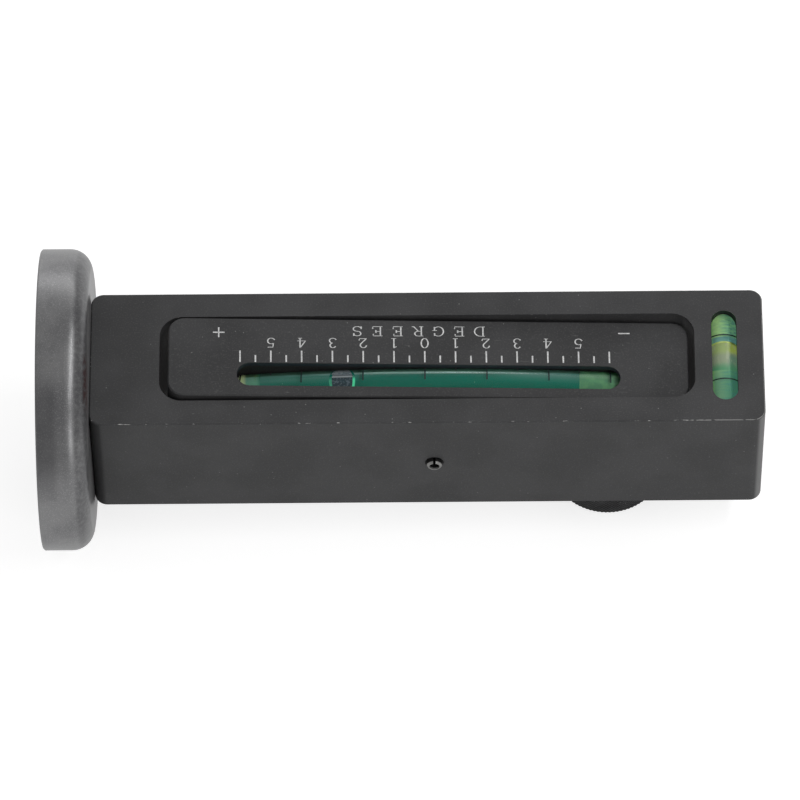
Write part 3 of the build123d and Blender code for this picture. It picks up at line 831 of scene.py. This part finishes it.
# Adjuster. A hard steel pad in the rocker's underside rests on a ball in the tip of an M6 screw. The screw
# runs up through the bar's floor and is fixed in a round black knob with a diamond knurl, turned by hand to
# set the zero.
screw_low, screw_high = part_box("adjuster_screw")
knob_low, knob_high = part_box("adjuster_knob")
ball_low, ball_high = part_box("thrust_ball")
ball_z = (ball_low.z + ball_high.z) / 2
axis_x = joint_places["knob_turn"].x
screw_radius = (screw_high.x - screw_low.x) / 2
thread_pitch = 1.0 * mm
thread_depth = 0.55 * mm
thread_rows_per_turn = 8
thread_sides = 48
tip_chamfer = 0.5 * mm
socket_radius = (ball_high.z - ball_low.z) / 2 + 0.05 * mm
socket_rows = 10
knob_radius = (knob_high.x - knob_low.x) / 2
knob_chamfer = 0.8 * mm
knob_edge_round = 0.15 * mm
knob_bore_radius = screw_radius + 0.01 * mm
knurl_depth = 0.12 * mm
knurl_diamonds = 88
knurl_rows = 9
dish_radius = 7.5 * mm
dish_depth = 0.6 * mm
dish_ring_shares = (0.02, 0.25, 0.5, 0.75, 1.0)
hard_steel_tones = ((176, 177, 180), (204, 205, 206))
knob_tones = ((34, 34, 35), (47, 47, 48))
knob_rubbed = (120, 120, 120)

polished, shader, place = new_material("hard_steel", metallic=1.0, roughness=0.14)
dress(shader, base_color=layer(grain(place, 0.6 * mm, 3.0), *hard_steel_tones))
finish_nodes(polished, "rocker_wear_pad", "thrust_ball")

knob_finish, shader, place = new_material("knob_black", roughness=0.5, specular_ior_level=0.22)
x, y, z = axes(place)
from_knob_axis = from_axis(calc("SUBTRACT", x, axis_x), y)
crests = rise(from_knob_axis, knob_radius - 0.1 * mm, knob_radius - 0.02 * mm)
colour = coated(
    layer(patches(place, 3 * mm, 0.35, 0.65), *knob_tones),
    (dust, specks(place, 1.2 * mm, 0.15 * mm, 0.6), 0.6),
    (knob_rubbed, crests, patches(place, 2 * mm, 0.4, 0.7, 2.0), 0.15))
turning = grain(node("ShaderNodeCombineXYZ", {0: from_knob_axis}), 0.12 * mm, 1.0)
dress(shader, turning, 0.006 * mm, base_color=colour)


def on_adjuster(across, up, along):
    """Point by its offset from the adjuster's axis and its height."""
    return Vector((axis_x + across, up, along))


def thread_radius(share, height):
    """Radius of a right-handed thread at a share of a turn, with flat crests and roots and a tapered tip."""
    phase = (height / thread_pitch - share) % 1.0
    flank = min(max(abs(phase - 0.5) * 2.6 - 0.3, 0.0), 1.0)
    taper = min(max((screw_high.z - height) / tip_chamfer, 0.0), 1.0)
    return min(screw_radius - thread_depth * flank, screw_radius - tip_chamfer * (1 - taper))


def adjuster_ring(sides, radius, height):
    """Ring of points round the adjuster's axis. The radius may be a rule for each side."""
    ring = []
    for side, (across, up) in enumerate(round_points(sides, 1.0)):
        reach = radius(side) if callable(radius) else radius
        ring.append(on_adjuster(reach * across, reach * up, height))
    return ring


rows = round((screw_high.z - screw_low.z) / thread_pitch * thread_rows_per_turn)
points = []
for height in stations(screw_low.z, screw_high.z, rows):
    points += adjuster_ring(thread_sides, lambda side: thread_radius(side / thread_sides, height), height)
rim_drop = math.acos((screw_high.z - ball_z) / socket_radius)
for down in stations(rim_drop, math.pi, socket_rows):
    height = ball_z + socket_radius * math.cos(down)
    points += adjuster_ring(thread_sides, socket_radius * math.sin(down), height)
faces = ring_faces(rows + 1 + socket_rows + 1, thread_sides) + [tuple(range(thread_sides))]
screw = piece_of("adjuster_thread", points, faces, sharp_from=50.0)
finish_piece(screw, "adjuster", "zinc_steel", zinc, replaces="adjuster_screw")

sides = 2 * knurl_diamonds
levels = 2 * knurl_rows
knurl_low = knob_low.z + knob_chamfer
knurl_high = knob_high.z - knob_chamfer
knob_rim = knob_radius - knob_chamfer - knob_edge_round
below = [(dish_radius * share, knob_low.z + dish_depth) for share in dish_ring_shares]
below += [(dish_radius, knob_low.z), (knob_rim, knob_low.z)]
above = [(knob_rim, knob_high.z), (knob_bore_radius, knob_high.z), (knob_bore_radius, screw_low.z)]
first_knurl = len(below)
points = []
for radius, height in below:
    points += adjuster_ring(sides, radius, height)
for level, height in enumerate(stations(knurl_low, knurl_high, levels)):
    points += adjuster_ring(sides, lambda side: knob_radius - (side + level + 1) % 2 * knurl_depth, height)
for radius, height in above:
    points += adjuster_ring(sides, radius, height)
faces = ring_faces(first_knurl + 1, sides) + end_faces(len(points) // sides, sides)
for level in range(levels + 1):
    row = (first_knurl + level) * sides
    for side in range((level + 1) % 2, sides, 2):
        tip = row + side
        left, right = row + (side - 1) % sides, row + (side + 1) % sides
        if level < levels:
            faces += [(tip, right, tip + sides), (tip, tip + sides, left)]
        if level > 0:
            faces += [(tip, tip - sides, right), (tip, left, tip - sides)]
above_knurl = (first_knurl + levels) * sides
faces += [tuple(above_knurl + corner for corner in face) for face in ring_faces(1 + len(above), sides)]
knob = piece_of("adjuster_knob_knurled", points, faces, sharp_from=20.0)
finish_piece(knob, "adjuster", "knob_black", knob_finish, replaces="adjuster_knob")

# Cross level. A short clear vial with green spirit slid into a bore across the bar's far end, seen through a
# slot in its top face. Two rings are printed on it, a plug closes each end of the tube and a black plastic
# plug closes the bore at the far side.
level_z = (level_low.z + level_high.z) / 2
level_half = (level_high.y - level_low.y) / 2
level_plug_length = 2.0 * mm
level_bore = level_radius - 1.0 * mm
near_ring, far_ring = (-4.5 * mm, 5.7 * mm)
air_low, air_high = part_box("level_bubble")
level_bubble_half = (air_high.y - air_low.y) / 2
level_bubble_middle = (air_high.y + air_low.y) / 2
level_bubble_radius = level_bore + bubble_film
level_rim_shares = (0.03, 0.11)
level_painted_shares = (0.0, level_rim_shares[1])
retainer_low, retainer_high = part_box("level_vial_retainer")
retainer_radius = (retainer_high.x - retainer_low.x) / 2
retainer_chamfer = 0.35 * mm
retainer_dimple = 1.1 * mm
retainer_tones = ((26, 26, 27), (44, 44, 45))
level_far_tones = ((168, 208, 140), (124, 184, 140))
level_near_tones = ((120, 168, 132), (84, 150, 122))
level_after_ring = (104, 156, 160)
level_streak = (84, 142, 134)
level_left_painted_highlight = (130, 200, 96)
level_mote = (150, 190, 140)
air_tones = ((168, 186, 120), (160, 170, 144))
air_lower_right = (96, 154, 132)
air_upper_right = (196, 212, 80)
air_glint = (184, 190, 160)
air_faded = (84, 160, 116)
level_rim_tones = ((206, 226, 112), (232, 246, 150))


def on_level(across, up, along):
    """Point by its offset from the level's axis and its place along it."""
    return Vector((level_x + across, along, level_z + up))


def level_glow(x, open_glow, shaded_glow):
    """Painted glow of the spirit, stronger on the side that the slot's edge shades, to lift that shade."""
    return spread(rise(x, level_x + 0.9 * mm, level_x + 1.5 * mm), open_glow, shaded_glow)


level_spirit, shader, place = new_material("level_fluid", roughness=0.5, specular_ior_level=0.0)
x, y, z = axes(place)
rightward = rise(x, level_x - 1.4 * mm, level_x + 1.6 * mm)
nearward = rise(y, near_ring + 6 * mm, near_ring)
after_ring = where(rise(y, far_ring + 0.1 * mm, far_ring - 0.2 * mm),
                   rise(y, far_ring - 1.7 * mm, far_ring - 1.0 * mm))
streaks = patches(stretched(place, (0.3, 1.5, 1.0)), 0.6 * mm, 0.42, 0.66, 2.0)
# The spirit is painted lighter toward its left and darker toward its right as light and shade, with a painted
# highlight along its left edge and a painted glow.
colour = coated(
    layer(nearward, layer(rightward, *level_far_tones), layer(rightward, *level_near_tones)),
    (level_after_ring, after_ring, 0.85),
    (level_streak, streaks, spread(rightward, 0.2, 0.7)),
    (level_left_painted_highlight, rise(x, level_x - 1.6 * mm, level_x - 2.2 * mm), 0.6),
    (level_mote, specks(place, 1.2 * mm, 0.12 * mm, 0.4), 0.4))
dress(shader, base_color=colour, emission_color=colour, emission_strength=level_glow(x, 0.15, 0.36))

outline = [(level_radius - tube_edge, -level_half), (level_radius, tube_edge - level_half)]
outline += [(level_radius, level_half - tube_edge), (level_radius - tube_edge, level_half)]
outline += [(level_bore, level_half), (level_bore, -level_half)]
level_tube = turned("level_vial_glass", outline, on_level)
level_tube.visible_shadow = False
finish_piece(level_tube, "bar", "vial_clear", clear_tube, replaces="level_vial_tube")

level_filled = level_bore + wetting
inner_end = level_half - level_plug_length
level_fluid = core("level_vial_spirit", -inner_end, inner_end, level_filled, on_level, 12)
finish_piece(level_fluid, "bar", "vial_fluid", level_spirit, replaces="level_vial_fluid")
near_plug = core("level_vial_stopper_near", -level_half, -inner_end, level_filled, on_level, 4)
finish_piece(near_plug, "bar", "vial_plug", level_spirit, replaces="level_vial_plug_near")
far_plug = core("level_vial_stopper_far", inner_end, level_half, level_filled, on_level, 4)
finish_piece(far_plug, "bar", "vial_plug", level_spirit, replaces="level_vial_plug_far")

points, faces = [], []
for along in (near_ring, far_ring):
    printed_line(points, faces, along, -180.0, 180.0, on_level, level_radius)
finish_piece(piece_of("level_vial_rings", points, faces), "bar", "retainer_black", ink)

level_air, shader, place = new_material("level_bubble_pane", roughness=0.3)
x, y, z = axes(place)
right_side = rise(x, level_x + 0.3 * mm, level_x + 1.4 * mm)
# The bubble's colours are painted light: lighter and yellower at its upper right, darker at its lower right,
# with painted glints and a painted glow.
colour = coated(
    layer(rise(y, 2.6 * mm, 0.9 * mm), *air_tones),
    (air_lower_right, right_side, rise(y, 2.2 * mm, 0.8 * mm), 0.6),
    (air_upper_right, right_side, rise(y, 1.6 * mm, 2.6 * mm), 0.6),
    (air_glint, patches(stretched(place, (1.2, 0.35, 1.0)), 0.7 * mm, 0.52, 0.66), 0.4),
    (air_faded, rise(y, 0.3 * mm, -1.9 * mm), 0.9))
dress(shader, base_color=colour, emission_color=colour, emission_strength=level_glow(x, 0.1, 0.34))

# painted light on the bubble's bright rims
level_rim, shader, place = new_material("level_bubble_rim", roughness=0.2)
dress(shader, base_color=layer(patches(place, 0.8 * mm, 0.3, 0.7, 2.0), *level_rim_tones))

level_bubble = air_bubble(
    "level_bubble_air", level_bubble_middle, level_bubble_half, level_bubble_radius, on_level,
    lambda spot: (spot.x - level_x, spot.y), level_rim_shares, level_painted_shares, roundness=0.55)
finish_piece(level_bubble, "level_air", "bubble_air", level_air, level_rim, replaces="level_bubble")

retainer_finish, shader, place = new_material("retainer_black", roughness=0.48)
orange_peel = grain(place, 0.5 * mm)
dress(shader, orange_peel, 0.02 * mm, base_color=layer(orange_peel, *retainer_tones))
near, far, chamfer = retainer_low.y, retainer_high.y, retainer_chamfer
outline = [(0, near), (retainer_radius - chamfer, near), (retainer_radius, near + chamfer)]
outline += [(retainer_radius, far - chamfer), (retainer_radius - chamfer, far)]
outline += [(retainer_dimple + chamfer, far), (retainer_dimple, far - 0.4 * mm), (0, far - 0.5 * mm)]
retainer = turned("level_bore_plug", outline, on_level)
finish_piece(retainer, "bar", "retainer_black", retainer_finish, replaces="level_vial_retainer")

# Floor, light and camera. The gauge lies on a white table on the disc's rim and the knob's edge, so the table
# runs a little uphill toward the knob. The studio is white behind and under the gauge and dim overhead and on
# the viewer's side, with lamps high over the knob's end, at the viewer's right and low behind.
rim_contact_inset = 4.3 * mm
rim_contact = Vector((pot_high.x - rim_contact_inset, 0, pot_low.z))
knob_contact = Vector((knob_high.x - knob_chamfer, 0, knob_low.z))
uphill = math.atan2(knob_contact.z - rim_contact.z, knob_contact.x - rim_contact.x)
floor_reach = 4.0
floor_gap = 0.02 * mm
floor_mirrored_share = 0.6
floor_light = 0.74
studio_light = 0.53
studio_dim = 0.26
studio_bright = 0.9
aim = Vector((0.07108, 0.0, -0.00105))
sensor_width = 36.0
picture_width_px = 800
focal_length_px = 7258


def seen_rays(tree, mirrored_share):
    """What kind of ray looks at a backdrop, and 1 for one that comes from the camera or through the vials."""
    path = node("ShaderNodeLightPath", {}, tree=tree).node.outputs
    seen = calc("MAXIMUM", where(path["Is Glossy Ray"], mirrored_share), path["Is Transmission Ray"])
    return path, calc("MAXIMUM", seen, path["Is Camera Ray"])


floor_finish = bpy.data.materials.new("white_table")
floor_finish.use_nodes = True
floor_finish.node_tree.nodes.clear()
path, seen = seen_rays(floor_finish.node_tree, floor_mirrored_share)
glow = node("ShaderNodeEmission", {"Color": (1, 1, 1, 1), "Strength": where(seen, floor_light)})
matt = node("ShaderNodeBsdfDiffuse", {"Color": (0.5, 0.5, 0.5, 1)}, tree=floor_finish.node_tree)
node("ShaderNodeOutputMaterial", {"Surface": node("ShaderNodeAddShader", {0: glow, 1: matt})})
mesh = bpy.data.meshes.new("table")
corners = [(floor_reach * side, floor_reach * end, 0) for side, end in ((-1, -1), (1, -1), (1, 1), (-1, 1))]
mesh.from_pydata(corners, [], [(0, 1, 2, 3)])
floor = add_object("table", mesh)
floor.data.materials.append(floor_finish)
floor.rotation_euler = (0, -uphill, 0)
floor.location = rim_contact - Vector((0, 0, floor_gap))

world = bpy.data.worlds.new("studio")
world.use_nodes = True
world.node_tree.nodes.clear()
path, seen = seen_rays(world.node_tree, 1.0)
rightward, backward, upward = axes(node("ShaderNodeTexCoord", {}, out="Generated", tree=world.node_tree))
low_behind = where(rise(upward, 0.9, 0.3), rise(backward, 0.0, 0.5), rise_about(rightward, 0.0, 0.7, 0.1))
mirrored = spread(low_behind, studio_dim, studio_bright)
mirrored = node("ShaderNodeMix", {0: path["Is Camera Ray"], 2: mirrored, 3: 1.0})
strength = node("ShaderNodeMix", {0: seen, 2: studio_light, 3: mirrored})
backdrop = node("ShaderNodeBackground", {"Color": (1, 1, 1, 1), "Strength": strength})
node("ShaderNodeOutputWorld", {"Surface": backdrop})
bpy.context.scene.world = world


def facing_gauge(azimuth, elevation, distance, roll=0.0):
    """Place of what faces the gauge from a distance. Azimuth 0 is the viewer's side and 90 the knob's end."""
    placed = Matrix.Translation(aim)
    for axis, angle in (("Z", azimuth), ("X", 90 - elevation), ("Z", roll)):
        placed = placed @ Matrix.Rotation(math.radians(angle), 4, axis)
    return placed @ Matrix.Translation((0, 0, distance))


def softbox(name, width, height, power, **seat):
    """Area lamp that faces the gauge."""
    lamp = bpy.data.lights.new(name, "AREA")
    lamp.shape = "RECTANGLE"
    lamp.size, lamp.size_y = width, height
    lamp.energy = power
    add_object(name, lamp).matrix_world = facing_gauge(**seat)


softbox("right_lamp", azimuth=84, elevation=61, distance=0.9, width=0.9, height=0.11, power=2.6)
softbox("front_lamp", azimuth=27, elevation=24, distance=1.2, width=0.2, height=0.5, power=1.6)
softbox("back_lamp", azimuth=178, elevation=20, distance=1.2, width=1.3, height=0.12, power=1.6)

camera = add_object("camera", bpy.data.cameras.new("camera"))
camera.data.sensor_width = sensor_width
camera.data.lens = sensor_width * focal_length_px / picture_width_px
camera.data.clip_start, camera.data.clip_end = 0.01, 20.0
camera.matrix_world = facing_gauge(azimuth=0.61, elevation=58.11, distance=1.446, roll=-0.947)
bpy.context.scene.camera = camera
bpy.context.scene.view_settings.view_transform = "Standard"
